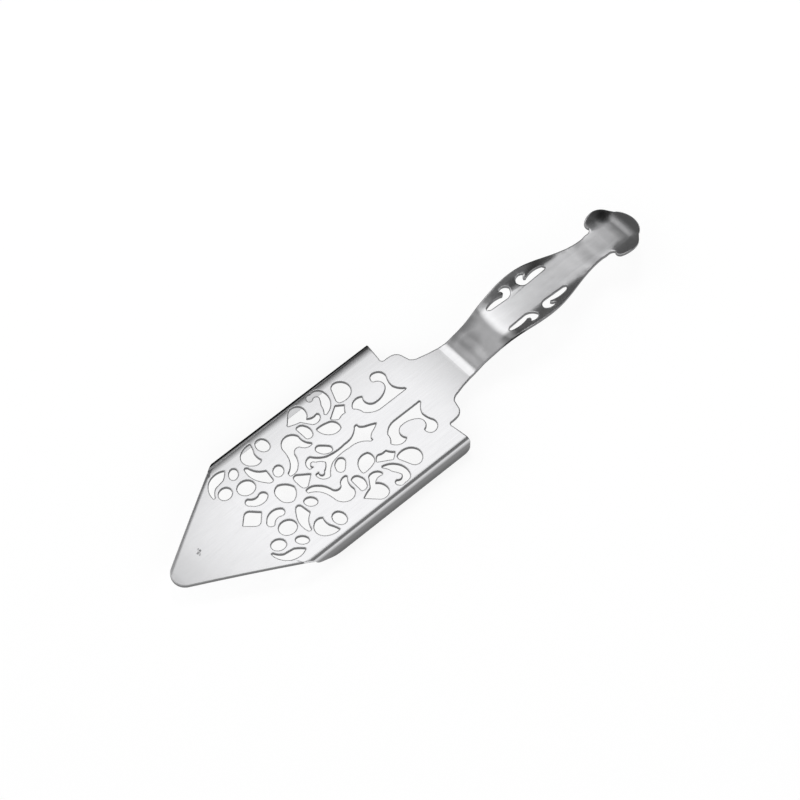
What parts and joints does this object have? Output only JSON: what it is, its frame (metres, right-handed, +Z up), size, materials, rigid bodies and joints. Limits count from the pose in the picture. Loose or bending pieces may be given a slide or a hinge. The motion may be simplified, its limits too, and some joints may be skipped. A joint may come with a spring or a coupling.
{
  "type": "absinthe spoon",
  "caption": "Flat pierced absinthe spoon of folded sheet steel: a pointed trowel blade with scroll openings and turned-down sides, and a stepped, dished handle.",
  "frame": {"origin": "under the middle of the spoon's length and width, level with the lower edges of the folds that it rests on", "axes": "+X along the spoon from the blade's tip to the handle's end, +Z up out of the blade's top, +Y across"},
  "size_m": [0.1652, 0.0406, 0.0114],
  "materials": {
    "steel": "polished, with fine handling marks"
  },
  "bodies": {
    "root": {"absinthe_spoon": "steel"}
  },
  "joints": []
}
